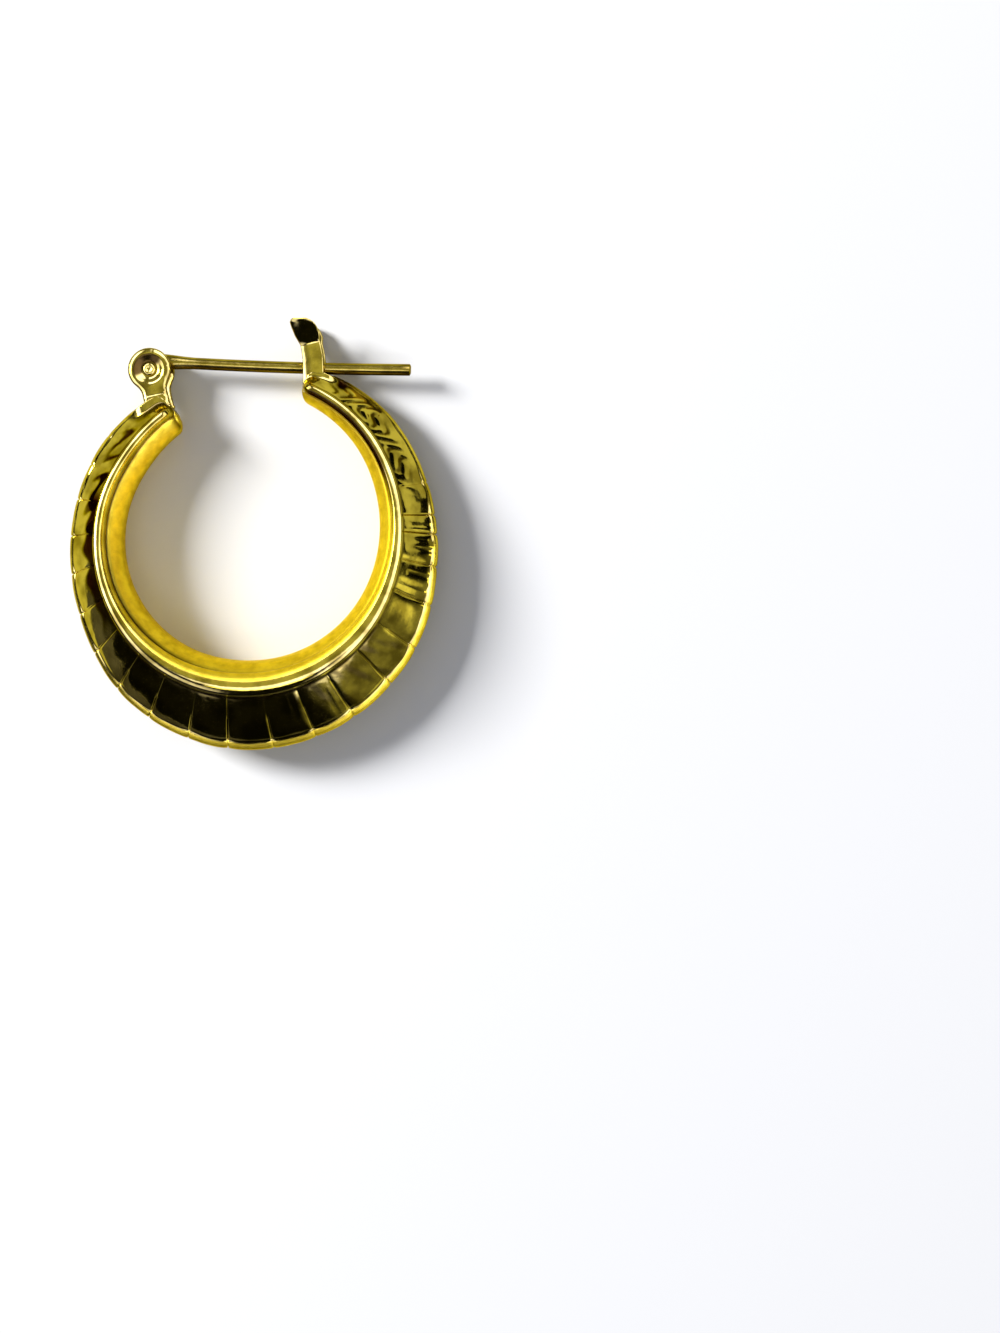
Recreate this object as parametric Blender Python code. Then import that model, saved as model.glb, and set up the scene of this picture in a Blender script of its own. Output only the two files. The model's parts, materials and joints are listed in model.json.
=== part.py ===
"""A hoop earring that lies on its side: a fluted crescent hoop closed by a hinged ear wire.

Metres, +Z up. The hoop is drawn in a frame of its own, with the middle of its round opening as
the centre, X to the right, Y up through the gap that the ear wire closes, and Z out of its front
face. Angles are degrees from X towards Y. An empty lays that frame down on the hoop's rear rim.
"""

import math
from bisect import bisect_right

import bmesh
import bpy
import numpy as np
from mathutils import Vector

# Crescent: the round opening, the widest section and the depth from front rim to rear rim.
INNER_RADIUS = 0.00876
HOOP_WIDTH = 0.00610
DEPTH_AT_FOOT = 0.00640
DEPTH_BESIDE_CENTRE = 0.00520
HINGE_END_ANGLE = 122.3
CATCH_END_ANGLE = 430.3
END_ROUNDING = 0.0009

# Section of the crescent, from the opening outwards: inner band, rim, flank and outer band.
INNER_BAND_RISE = 0.00090
RIM_WIDTH = 0.00160
RIM_HEIGHT = 0.00090
RIM_STEP = 0.00034
OUTER_BAND_RISE = 0.00050
OUTER_BAND_HALF = 0.00045
FLANK_HOLLOW = 1.15

# Sections along the hoop, from the hinge end (place 0) to the catch end (place 1). The other
# columns are shares of INNER_RADIUS, HOOP_WIDTH, INNER_BAND_RISE and RIM_WIDTH.
SECTION_COLUMNS = ("place", "inner", "width", "band", "rim")
SECTIONS = (
    (0.00, 0.960, 0.495, 1.00, 0.42),
    (0.08, 0.957, 0.585, 1.00, 0.44),
    (0.16, 0.983, 0.600, 1.00, 0.47),
    (0.26, 1.010, 0.675, 1.00, 0.55),
    (0.37, 1.013, 0.890, 1.00, 0.82),
    (0.47, 0.993, 1.000, 1.00, 1.00),
    (0.56, 0.990, 0.955, 1.00, 0.95),
    (0.65, 0.990, 0.845, 1.00, 0.78),
    (0.74, 0.994, 0.690, 1.00, 0.58),
    (0.83, 1.018, 0.583, 0.95, 0.48),
    (0.91, 1.060, 0.507, 0.75, 0.44),
    (1.00, 1.100, 0.385, 0.50, 0.41),
)

# Flutes: equal panels between narrow creases that run down both flanks.
FLUTE_COUNT = 20
FLUTES_START = 0.082
FLUTES_END = 0.842
FLUTE_DEPTH = 0.00010

# Hinge: two ears on the hoop's end, held together by a rivet.
EAR_RADIUS = 0.00146
EAR_THICKNESS = 0.00050
NECK_WIDTH = 0.00170
HINGE_STANDOFF = 0.00168
HINGE_ANGLE = 122.0
NECK_FOOT_ANGLE = 127.5
NECK_FOOT_SHARE = 0.40          # share of the hoop's width, inwards from its outer edge
NECK_STRAIGHT_SHARE = 0.66      # share of the way to the foot where the neck's parallel part begins
EAR_TURN_ANGLE = 40.0           # degrees below the widest place where the ear runs into its neck
RIVET_RADIUS = 0.00045
RIVET_DOME = 0.00015
DIMPLE_RADIUS = 0.00088
DIMPLE_DEPTH = 0.00016

# Ear wire: a round wire with a flattened eye at the rivet.
WIRE_RADIUS = 0.00040
WIRE_LENGTH = 0.01770
WIRE_BOW = 0.00005
WIRE_OFFSET = 0.00068
TIP_CHAMFER = 0.00008
EYE_RADIUS = 0.00130
EYE_THICKNESS = 0.00070

# Catch: two leaves with flared tips, and a slot between them that takes the wire.
CATCH_ANGLE = 69.2
SEAT_RISE = 0.00005
LEAF_WIDTH = 0.00140
LEAF_TIP_WIDTH = 0.00175
LEAF_THICKNESS = 0.00050
LEAF_ABOVE_WIRE = 0.00330
LEAF_TIP_LENGTH = 0.00155
LEAF_LEAN_ANGLE = 3.0
LEAF_SWAY = 0.00085
LEAF_FOOT = 0.00135
FRONT_FLARE = 0.00090
REAR_FLARE = 0.00045
# Rows of a flared tip: share of its length, and share of the leaf's full width there.
LEAF_TIP_ROWS = ((0.35, 1.0), (0.65, 1.0), (0.85, 0.82), (0.96, 0.50), (1.0, 0.20))

# Clearances.
RIVET_CLEARANCE = 0.00003
EYE_CLEARANCE = 0.00005
SIDE_CLEARANCE = 0.00010
SLOT_CLEARANCE = 0.00010

GOLD = (0.80, 0.58, 0.16, 1.0)
GOLD_ROUGHNESS = 0.15

ROUND_SIDES = 28
WIRE_SIDES = 16

# The gap between the two ears, and between the two leaves, lets the round wire through.
SLOT_HALF = WIRE_RADIUS + SIDE_CLEARANCE
SPAN = CATCH_END_ANGLE - HINGE_END_ANGLE


def clear_scene():
    for item in list(bpy.data.objects):
        bpy.data.objects.remove(item, do_unlink=True)


def make_material(name):
    material = bpy.data.materials.new(name)
    material.use_nodes = True
    shader = material.node_tree.nodes["Principled BSDF"]
    shader.inputs["Base Color"].default_value = GOLD
    shader.inputs["Metallic"].default_value = 1.0
    shader.inputs["Roughness"].default_value = GOLD_ROUGHNESS
    material.diffuse_color = GOLD
    return material


def make_object(name, bm, location=(0.0, 0.0, 0.0)):
    """Turn a closed bmesh into a smooth-shaded object of its own."""
    bmesh.ops.recalc_face_normals(bm, faces=bm.faces)
    mesh = bpy.data.meshes.new(name)
    bm.to_mesh(mesh)
    bm.free()
    mesh.shade_smooth()
    mesh.set_sharp_from_angle(angle=math.radians(35.0))
    item = bpy.data.objects.new(name, mesh)
    item.location = location
    bpy.context.scene.collection.objects.link(item)
    return item


def make_guide(name, bm, location=(0.0, 0.0, 0.0)):
    """An object that only takes part in Boolean modifiers."""
    item = make_object(name, bm, location)
    item.hide_render = True
    item.display_type = "WIRE"
    return item


def add_boolean(item, operand, operation):
    modifier = item.modifiers.new(operand.name, "BOOLEAN")
    modifier.object = operand
    modifier.operation = operation
    modifier.solver = "EXACT"


def polar(radius, angle):
    return Vector((radius * math.cos(math.radians(angle)), radius * math.sin(math.radians(angle)), 0.0))


def direction(angle):
    return polar(1.0, angle)


def prism(bm, outline, low, high):
    """Extrude a closed outline in the XY plane from low to high."""
    bottom = [bm.verts.new((point[0], point[1], low)) for point in outline]
    face = bm.faces.new(bottom)
    raised = bmesh.ops.extrude_face_region(bm, geom=[face])
    top = [vert for vert in raised["geom"] if isinstance(vert, bmesh.types.BMVert)]
    bmesh.ops.translate(bm, verts=top, vec=(0.0, 0.0, high - low))


def turned(bm, profile, sides=ROUND_SIDES):
    """Spin a profile of (radius, z) points about Z, from one pole on the axis to the other."""
    rings = []
    for radius, z in profile:
        if radius == 0.0:
            rings.append([bm.verts.new((0.0, 0.0, z))])
            continue
        turns = [360.0 * step / sides for step in range(sides)]
        rings.append([bm.verts.new(polar(radius, turn) + Vector((0.0, 0.0, z))) for turn in turns])
    for ring, other in zip(rings, rings[1:]):
        bridge(bm, ring, other)


def bridge(bm, ring, other):
    """Join two rings of vertices; either may be a single pole."""
    count = max(len(ring), len(other))
    for step in range(count):
        after = (step + 1) % count
        if len(ring) == 1:
            bm.faces.new((ring[0], other[after], other[step]))
        elif len(other) == 1:
            bm.faces.new((ring[step], ring[after], other[0]))
        else:
            bm.faces.new((ring[step], ring[after], other[after], other[step]))


# Crescent hoop

def along(column, place):
    """A column of the section table at a place along the hoop, as a smooth curve."""
    places = [row[0] for row in SECTIONS]
    values = [row[SECTION_COLUMNS.index(column)] for row in SECTIONS]
    slopes = np.gradient(values, places)
    row = min(max(bisect_right(places, place) - 1, 0), len(places) - 2)
    step = places[row + 1] - places[row]
    t = (place - places[row]) / step
    start = values[row] * (1 + 2 * t) + slopes[row] * step * t
    end = values[row + 1] * (3 - 2 * t) - slopes[row + 1] * step * (1 - t)
    return start * (1 - t) ** 2 + end * t ** 2


def hoop_angle(place):
    return HINGE_END_ANGLE + SPAN * place


def foot_crest_radius():
    return INNER_RADIUS + INNER_BAND_RISE + RIM_WIDTH / 2


def rim_taper():
    """How much nearer the middle plane a rim comes, for each metre up through the gap."""
    return (DEPTH_AT_FOOT - DEPTH_BESIDE_CENTRE) / 2 / foot_crest_radius()


def rim_level(height):
    """Distance of a rim's crest from the middle plane. Both rims are flat, so it is linear."""
    return DEPTH_BESIDE_CENTRE / 2 - rim_taper() * height


def hoop_edges(place):
    """Radii of the opening and of the outer edge at a place along the hoop."""
    inner = INNER_RADIUS * along("inner", place)
    return inner, inner + HOOP_WIDTH * along("width", place)


def flute_dip(place):
    """Depth below the panels at a place: nothing across a panel, full at a crease."""
    share = (place - FLUTES_START) / (FLUTES_END - FLUTES_START)
    if not 0.0 <= share <= 1.0:
        return 0.0
    across = 2.0 * (share * FLUTE_COUNT % 1.0) - 1.0
    return FLUTE_DEPTH * abs(across) ** 6


def half_section(place):
    """Front half of the section, as (radius, z) points from the opening to the outer edge."""
    inner, outer = hoop_edges(place)
    rim = RIM_WIDTH * along("rim", place)
    step = RIM_STEP * along("rim", place)
    outer_rise = OUTER_BAND_RISE * along("width", place)
    band = INNER_BAND_RISE * along("band", place)
    crest_radius = inner + band + rim / 2
    crest = rim_level(crest_radius * math.sin(math.radians(hoop_angle(place))))
    band_edge = crest - RIM_HEIGHT
    dip = flute_dip(place)
    points = []
    for share in (0.0, 0.4, 0.75):
        points.append((inner + band * share ** 2, band_edge * share))
    for turn in (0.0, 35.0, 65.0, 90.0):
        rise = RIM_HEIGHT * math.sin(math.radians(turn))
        points.append((crest_radius - rim / 2 * math.cos(math.radians(turn)), band_edge + rise))
    for turn in (40.0, 75.0):
        drop = step * (1.0 - math.cos(math.radians(turn)))
        points.append((crest_radius + rim / 2 * math.sin(math.radians(turn)), crest - drop))
    valley = (crest_radius + rim / 2, crest - step)
    ridge = (outer - outer_rise, OUTER_BAND_HALF)
    length = math.hypot(ridge[0] - valley[0], valley[1] - ridge[1])
    outward = ((valley[1] - ridge[1]) / length, (ridge[0] - valley[0]) / length)
    for share, depth in ((0.1, 0.3), (0.4, 1.0), (0.7, 1.0), (1.0, 1.0)):
        radius = valley[0] + (ridge[0] - valley[0]) * share - outward[0] * dip * depth
        z = ridge[1] + (valley[1] - ridge[1]) * (1.0 - share) ** FLANK_HOLLOW - outward[1] * dip * depth
        points.append((radius, z))
    points.append((outer - outer_rise * 0.13, OUTER_BAND_HALF * 0.5))
    points.append((outer, 0.0))
    return points


def full_section(place, scale):
    """Closed section, shrunk by scale towards its core for the rounded ends."""
    front = half_section(place)
    rear = [(radius, -z) for radius, z in front[-2:0:-1]]
    inner, outer = hoop_edges(place)
    core = (inner + outer) / 2
    return [(core + (radius - core) * scale, z * scale) for radius, z in front + rear]


def hoop_places():
    """Places of the hoop's sections with the scale of each, end to end."""
    rounding = END_ROUNDING / (math.radians(SPAN) * (INNER_RADIUS + HOOP_WIDTH / 4))
    fluted = []
    for flute in range(FLUTE_COUNT):
        for share in (0.0, 0.09, 0.36, 0.64, 0.91):
            fluted.append((flute + share) / FLUTE_COUNT)
    places = [FLUTES_START + (FLUTES_END - FLUTES_START) * share for share in fluted]
    hinge_end = np.linspace(rounding, FLUTES_START, 5, endpoint=False)
    catch_end = np.linspace(FLUTES_END, 1.0 - rounding, 11)
    stations = [(place, 1.0) for place in [*hinge_end, *places, *catch_end]]
    caps = [(0.5, 0.866), (0.8, 0.6), (0.95, 0.31)]
    start = [(rounding * (1.0 - reach), scale) for reach, scale in reversed(caps)]
    end = [(1.0 - rounding * (1.0 - reach), scale) for reach, scale in caps]
    return start + stations + end


def crescent():
    bm = bmesh.new()
    rings = []
    for place, scale in hoop_places():
        angle = hoop_angle(place)
        section = full_section(place, scale)
        rings.append([bm.verts.new(polar(radius, angle) + Vector((0.0, 0.0, z))) for radius, z in section])
    for place, at_start in ((0.0, True), (1.0, False)):
        inner, outer = hoop_edges(place)
        pole = bm.verts.new(polar((inner + outer) / 2, hoop_angle(place)))
        if at_start:
            rings.insert(0, [pole])
        else:
            rings.append([pole])
    for ring, other in zip(rings, rings[1:]):
        bridge(bm, ring, other)
    return bm


# Places that the hinge, the wire and the catch share

def hinge_centre():
    return polar(hoop_edges(0.0)[1] + HINGE_STANDOFF, HINGE_ANGLE)


def seat_point():
    """Centre of the wire where it lies between the catch's leaves."""
    return polar(hoop_edges(1.0)[1] + SEAT_RISE, CATCH_ANGLE)


def wire_angle():
    """Direction of the closed wire, from the rivet to the catch."""
    chord = seat_point() - hinge_centre()
    return math.degrees(math.atan2(chord.y, chord.x) - math.asin(WIRE_OFFSET / chord.length))


def seat_distance():
    chord = seat_point() - hinge_centre()
    return math.sqrt(chord.length ** 2 - WIRE_OFFSET ** 2)


def wire_height(distance):
    """Height of the bowed wire's centre over the rivet, at a distance along the wire."""
    share = distance / seat_distance()
    return WIRE_OFFSET + 4.0 * WIRE_BOW * share * (share - 1.0)


# Hinge ears

def ear_points():
    """Outline of an ear, from its neck's foot in the hoop's end round the top and back."""
    centre = hinge_centre()
    inner, outer = hoop_edges(0.0)
    foot = polar(outer - (outer - inner) * NECK_FOOT_SHARE, NECK_FOOT_ANGLE)
    reach = (foot - centre).length
    down = (foot - centre).normalized()
    side = Vector((-down.y, down.x, 0.0))
    half = NECK_WIDTH / 2
    straight = reach * NECK_STRAIGHT_SHARE
    leave_drop = EAR_RADIUS * math.sin(math.radians(EAR_TURN_ANGLE))
    leave_half = EAR_RADIUS * math.cos(math.radians(EAR_TURN_ANGLE))
    right = [(reach, half), (straight, half)]
    for share in (0.3, 0.65):
        drop = straight + (leave_drop - straight) * share
        right.append((drop, half + (leave_half - half) * share ** 1.6))
    for turn in np.linspace(EAR_TURN_ANGLE, -90.0, 10):
        right.append((EAR_RADIUS * math.sin(math.radians(turn)), EAR_RADIUS * math.cos(math.radians(turn))))
    left = [(drop, -width) for drop, width in reversed(right[:-1])]
    return [centre + down * drop + side * width for drop, width in right + left]


def hinge_ears():
    bm = bmesh.new()
    outline = ear_points()
    inside = SLOT_HALF / 2
    outside = SLOT_HALF + EAR_THICKNESS
    prism(bm, outline, inside, outside)
    prism(bm, outline, -outside, -inside)
    return bm


def ear_slot():
    """Space between the ears, clear of the wire's eye."""
    bm = bmesh.new()
    radius = EAR_RADIUS + SIDE_CLEARANCE * 2
    turned(bm, [(0.0, -SLOT_HALF), (radius, -SLOT_HALF), (radius, SLOT_HALF), (0.0, SLOT_HALF)])
    return bm


def rivet_hole():
    """Bore through both ears, with a shallow dimple in each outer face."""
    bm = bmesh.new()
    bore = RIVET_RADIUS + RIVET_CLEARANCE
    face = SLOT_HALF + EAR_THICKNESS
    floor = face - DIMPLE_DEPTH
    over = face + DIMPLE_DEPTH
    profile = [(0.0, -over), (DIMPLE_RADIUS, -over), (DIMPLE_RADIUS, -face), (bore, -floor)]
    profile += [(bore, floor), (DIMPLE_RADIUS, face), (DIMPLE_RADIUS, over), (0.0, over)]
    turned(bm, profile)
    return bm


def rivet():
    """Shank with a low dome at each end, set down in the dimples."""
    bm = bmesh.new()
    top = SLOT_HALF + EAR_THICKNESS
    shoulder = top - RIVET_DOME
    upper = [(RIVET_RADIUS, shoulder)]
    for turn in (30.0, 60.0):
        rise = RIVET_DOME * math.sin(math.radians(turn))
        upper.append((RIVET_RADIUS * math.cos(math.radians(turn)), shoulder + rise))
    upper.append((0.0, top))
    lower = [(radius, -z) for radius, z in reversed(upper)]
    turned(bm, lower + upper)
    return bm


# Ear wire

def wire_eye():
    bm = bmesh.new()
    half = EYE_THICKNESS / 2
    turned(bm, [(0.0, -half), (EYE_RADIUS, -half), (EYE_RADIUS, half), (0.0, half)])
    return bm


def eye_hole():
    """Bore through the eye, which runs freely on the rivet."""
    bm = bmesh.new()
    bore = RIVET_RADIUS + EYE_CLEARANCE
    turned(bm, [(0.0, -SLOT_HALF), (bore, -SLOT_HALF), (bore, SLOT_HALF), (0.0, SLOT_HALF)])
    return bm


def wire_arm():
    """Round wire from the eye to its chamfered tip, flattened a little at its root."""
    bm = bmesh.new()
    stations = [(0.0, 1.0, 0.75), (EYE_RADIUS, 1.0, 1.0)]
    for distance in np.linspace(EYE_RADIUS * 2, WIRE_LENGTH - TIP_CHAMFER, 12):
        stations.append((distance, 1.0, 1.0))
    blunt = 1.0 - TIP_CHAMFER / WIRE_RADIUS
    stations.append((WIRE_LENGTH, blunt, blunt))
    rings = []
    for distance, tall, deep in stations:
        ring = []
        for step in range(WIRE_SIDES):
            turn = 2.0 * math.pi * (step + 0.5) / WIRE_SIDES
            y = wire_height(distance) + WIRE_RADIUS * tall * math.cos(turn)
            ring.append(bm.verts.new((distance, y, WIRE_RADIUS * deep * math.sin(turn))))
        rings.append(ring)
    for ring, other in zip(rings, rings[1:]):
        bridge(bm, ring, other)
    bm.faces.new(rings[0])
    bm.faces.new(rings[-1])
    return bm


# Catch

def leaf_stations():
    """Rows of a leaf as (height over the wire's seat, half width, share of the flare)."""
    bend = LEAF_ABOVE_WIRE - LEAF_TIP_LENGTH
    half = LEAF_WIDTH / 2
    tip = LEAF_TIP_WIDTH / 2
    rows = [(-LEAF_FOOT, half, 0.0), (0.0, half, 0.0), (bend * 0.5, half, 0.0)]
    rows += [(bend - 0.15 * LEAF_TIP_LENGTH, half, 0.0), (bend, half, 0.03)]
    widest = LEAF_TIP_ROWS[1][0]
    for share, fullness in LEAF_TIP_ROWS:
        spread = half + (tip - half) * min(share / widest, 1.0)
        rows.append((bend + LEAF_TIP_LENGTH * share, spread * fullness, share))
    return rows


def catch_leaf(bm, side, flare):
    """One leaf of the catch, on the front (side 1) or the rear (side -1) of the wire."""
    up = direction(wire_angle() + 90.0 + LEAF_LEAN_ANGLE)
    across = Vector((up.y, -up.x, 0.0))
    rings = []
    for height, half, share in leaf_stations():
        near = Vector((0.0, 0.0, side * (SLOT_HALF - SIDE_CLEARANCE / 2 + flare * share)))
        far = near + Vector((0.0, 0.0, side * (LEAF_THICKNESS + SIDE_CLEARANCE / 2)))
        sway = LEAF_SWAY * (max(height, 0.0) / LEAF_ABOVE_WIRE) ** 2
        middle = seat_point() + up * height - across * sway
        corners = (middle - across * half + near, middle + across * half + near)
        corners += (middle + across * half + far, middle - across * half + far)
        rings.append([bm.verts.new(corner) for corner in corners])
    for ring, other in zip(rings, rings[1:]):
        bridge(bm, ring, other)
    bm.faces.new(rings[0])
    bm.faces.new(rings[-1])


def catch_leaves():
    bm = bmesh.new()
    catch_leaf(bm, 1, FRONT_FLARE)
    catch_leaf(bm, -1, REAR_FLARE)
    return bm


def wire_slot():
    """Channel through the hoop's end for the closed wire, in the wire's own frame."""
    bm = bmesh.new()
    start = seat_distance() - LEAF_WIDTH
    end = seat_distance() + HOOP_WIDTH * 0.65
    below = WIRE_RADIUS + SLOT_CLEARANCE
    above = LEAF_ABOVE_WIRE
    distances = np.linspace(start, end, 7)
    outline = [(distance, wire_height(distance) - below) for distance in distances]
    outline += [(end, wire_height(end) + above), (start, wire_height(start) + above)]
    prism(bm, outline, -SLOT_HALF, SLOT_HALF)
    return bm


def lay_down(root, items):
    """Turn the hoop's frame until its rear rim is level, and set its lowest point on the origin."""
    root.rotation_euler = (-math.atan(rim_taper()), 0.0, 0.0)
    bpy.context.view_layer.update()
    graph = bpy.context.evaluated_depsgraph_get()
    corners = []
    for item in items:
        shape = item.evaluated_get(graph)
        mesh = shape.to_mesh()
        corners += [shape.matrix_world @ vert.co for vert in mesh.vertices]
        shape.to_mesh_clear()
    low = [min(corner[axis] for corner in corners) for axis in range(3)]
    high = [max(corner[axis] for corner in corners) for axis in range(3)]
    root.location = (-(low[0] + high[0]) / 2, -(low[1] + high[1]) / 2, -low[2])


def build():
    clear_scene()
    root = bpy.data.objects.new("resting_pose", None)
    bpy.context.scene.collection.objects.link(root)
    hinge = hinge_centre()

    hoop = make_object("hoop", crescent())
    hoop.data.materials.append(make_material("hoop_gold"))
    ears = make_guide("ears_guide", hinge_ears())
    leaves = make_guide("leaves_guide", catch_leaves())
    between_ears = make_guide("ear_slot_guide", ear_slot(), hinge)
    between_leaves = make_guide("wire_slot_guide", wire_slot(), hinge)
    between_leaves.rotation_euler.z = math.radians(wire_angle())
    bore = make_guide("rivet_hole_guide", rivet_hole(), hinge)
    add_boolean(hoop, ears, "UNION")
    add_boolean(hoop, leaves, "UNION")
    add_boolean(hoop, between_ears, "DIFFERENCE")
    add_boolean(hoop, between_leaves, "DIFFERENCE")
    add_boolean(hoop, bore, "DIFFERENCE")

    pin = make_object("hinge_pin", rivet(), hinge)
    pin.data.materials.append(make_material("pin_gold"))

    ear_wire = make_object("ear_wire", wire_eye(), hinge)
    ear_wire.rotation_euler.z = math.radians(wire_angle())
    ear_wire.data.materials.append(make_material("wire_gold"))
    arm = make_guide("arm_guide", wire_arm(), hinge)
    arm.rotation_euler.z = math.radians(wire_angle())
    eye_bore = make_guide("eye_hole_guide", eye_hole(), hinge)
    eye_bore.rotation_euler.z = math.radians(wire_angle())
    add_boolean(ear_wire, arm, "UNION")
    add_boolean(ear_wire, eye_bore, "DIFFERENCE")

    guides = (ears, leaves, between_ears, between_leaves, bore, arm, eye_bore)
    for item in (hoop, pin, ear_wire, *guides):
        item.parent = root
    lay_down(root, (hoop, pin, ear_wire))


build()
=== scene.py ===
"""A fluted crescent hoop earring, gold plated, lying on its rear rim with its ear wire closed.

Metres throughout. The hoop is drawn in a frame of its own: the middle of its round opening is the
centre, Y runs up through the gap that the ear wire closes and Z out of the front face.
"""

import json
import math

import bmesh
import bpy
import numpy as np
from mathutils import Matrix, Vector


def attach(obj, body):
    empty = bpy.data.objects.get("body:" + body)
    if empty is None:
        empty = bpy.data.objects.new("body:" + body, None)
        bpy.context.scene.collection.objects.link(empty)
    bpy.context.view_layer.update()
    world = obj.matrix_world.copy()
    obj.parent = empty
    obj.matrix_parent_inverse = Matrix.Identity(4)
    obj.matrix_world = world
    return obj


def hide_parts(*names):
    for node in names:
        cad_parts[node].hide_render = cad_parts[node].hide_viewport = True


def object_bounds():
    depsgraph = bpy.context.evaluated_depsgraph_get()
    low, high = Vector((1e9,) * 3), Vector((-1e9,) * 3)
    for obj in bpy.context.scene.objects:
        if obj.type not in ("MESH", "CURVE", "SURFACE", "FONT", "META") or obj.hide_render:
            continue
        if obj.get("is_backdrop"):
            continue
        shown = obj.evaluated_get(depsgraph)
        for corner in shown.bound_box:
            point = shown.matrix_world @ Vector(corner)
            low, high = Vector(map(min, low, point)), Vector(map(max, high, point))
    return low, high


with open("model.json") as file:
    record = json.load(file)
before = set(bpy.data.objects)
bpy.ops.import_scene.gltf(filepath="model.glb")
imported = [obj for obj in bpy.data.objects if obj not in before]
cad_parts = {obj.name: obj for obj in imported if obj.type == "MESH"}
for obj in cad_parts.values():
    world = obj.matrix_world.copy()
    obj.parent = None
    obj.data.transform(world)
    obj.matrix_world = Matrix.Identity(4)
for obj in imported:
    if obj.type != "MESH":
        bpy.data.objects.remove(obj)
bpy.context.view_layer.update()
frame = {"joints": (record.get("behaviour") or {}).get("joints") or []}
bpy.ops.object.select_all(action="DESELECT")


# Crescent hoop. A casting of brass, polished and gold plated. Both flanks carry filed flutes between
# a round rim and a narrow outer edge, and the inner and outer edges keep a satin finish. The solder
# that holds the hinge and the catch is worked smooth into its two ends.
INNER_RADIUS = 0.00876
HOOP_WIDTH = 0.00610
DEPTH_AT_FOOT = 0.00640
DEPTH_BESIDE_CENTRE = 0.00520
HINGE_END_ANGLE = 122.3
CATCH_END_ANGLE = 430.3
END_ROUNDING = 0.0009
INNER_BAND_RISE = 0.00090
RIM_WIDTH = 0.00160
RIM_HEIGHT = 0.00090
RIM_STEP = 0.00034
OUTER_BAND_RISE = 0.00050
OUTER_BAND_HALF = 0.00045
FLANK_HOLLOW = 1.15
FLANK_SWELL = 0.84
GROOVE_DEPTH = 0.00011

# Shares of the sizes above along the hoop: place, inner radius, width, inner band and rim.
SECTIONS = np.array((
    (0.00, 0.960, 0.495, 1.00, 0.42),
    (0.08, 0.957, 0.585, 1.00, 0.44),
    (0.16, 0.983, 0.600, 1.00, 0.47),
    (0.26, 1.010, 0.675, 1.00, 0.55),
    (0.37, 1.013, 0.890, 1.00, 0.82),
    (0.47, 0.993, 1.000, 1.00, 1.00),
    (0.56, 0.990, 0.955, 1.00, 0.95),
    (0.65, 0.990, 0.845, 1.00, 0.78),
    (0.74, 0.994, 0.690, 1.00, 0.58),
    (0.83, 1.018, 0.583, 0.95, 0.48),
    (0.91, 1.060, 0.507, 0.75, 0.44),
    (1.00, 1.100, 0.385, 0.50, 0.41),
))

# Creases between the flutes, filed by hand: angle clockwise from the right, depth share, and how far
# from the rim each begins, as a share of the flank.
CREASES = (
    (214.0, 0.30, 0.30), (203.0, 0.45, 0.25), (191.0, 0.75, 0.20), (179.0, 0.85, 0.15),
    (167.0, 0.90, 0.10), (154.5, 0.80, 0.15), (142.5, 0.90, 0.35), (130.7, 0.80, 0.55),
    (119.0, 0.90, 0.55), (107.0, 0.75, 0.60), (96.0, 1.10, 0.48), (83.7, 1.15, 0.45),
    (72.0, 1.00, 0.42), (60.5, 1.10, 0.20), (47.0, 1.00, 0.05), (35.0, 0.80, 0.30),
    (22.0, 1.35, 0.02), (10.5, 1.40, 0.05), (0.5, 1.50, 0.05), (-5.5, 1.30, 0.05),
    (-16.0, 0.70, 0.10),
)
# Short second strokes of the file: angle, depth share, and where along the flank they run.
STROKES = (
    (188.0, 0.5, 0.35, 1.00), (176.0, 0.6, 0.15, 0.80), (171.5, 0.5, 0.45, 1.00),
    (163.5, 0.5, 0.30, 0.90), (147.0, 0.4, 0.55, 1.00), (111.5, 0.4, 0.50, 0.95),
    (75.0, 0.7, 0.10, 0.80), (63.5, 0.6, 0.30, 1.00), (38.0, 0.5, 0.20, 0.70),
    (18.0, 1.2, 0.10, 0.95), (14.5, 1.1, 0.30, 1.00), (6.0, 1.3, 0.20, 1.00),
    (3.0, 1.2, 0.10, 0.90), (-2.0, 1.0, 0.25, 1.00), (-9.5, 0.8, 0.20, 0.90),
)
CREASE_DEPTH = 0.000085
CREASE_HALF_DEGREES = 0.42
STROKE_DEPTH = 0.000035
STROKE_HALF_DEGREES = 0.45
PANEL_CROWN = 0.000045
PANEL_TWIST = 0.000022
PETAL_FALL = 0.00002
RIPPLE_DEPTH = 0.000030
LONG_WAVE = 0.000008
SHORT_WAVE = 0.000006

# The closure: where the rivet and the wire's seat stand over the hoop's ends, and the solder there.
HINGE_ANGLE = 122.0
HINGE_ABOVE_HOOP = 0.00168
SEAT_ANGLE = 69.2
SEAT_ABOVE_HOOP = 0.00005
SEAT_DEPTH = 0.00050
SEAT_HALF = 0.00050
WIRE_OFFSET = 0.00068
EAR_FACE = 0.00100
NECK_STRAIGHT = 0.61
SOLDER_REACH = 0.0032
SOLDER_SLOPE = 0.10
SOLDER_SHOULDER = 0.00040
SOLDER_FALL = 650.0
JOINT_LINE = 0.00045

STATIONS_EACH_FLUTE = 23
STATIONS_AT_HINGE = 14
STATIONS_AT_CATCH = 104
SPAN = CATCH_END_ANGLE - HINGE_END_ANGLE
TAPER = (DEPTH_AT_FOOT - DEPTH_BESIDE_CENTRE) / 2 / (INNER_RADIUS + INNER_BAND_RISE + RIM_WIDTH / 2)


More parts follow.
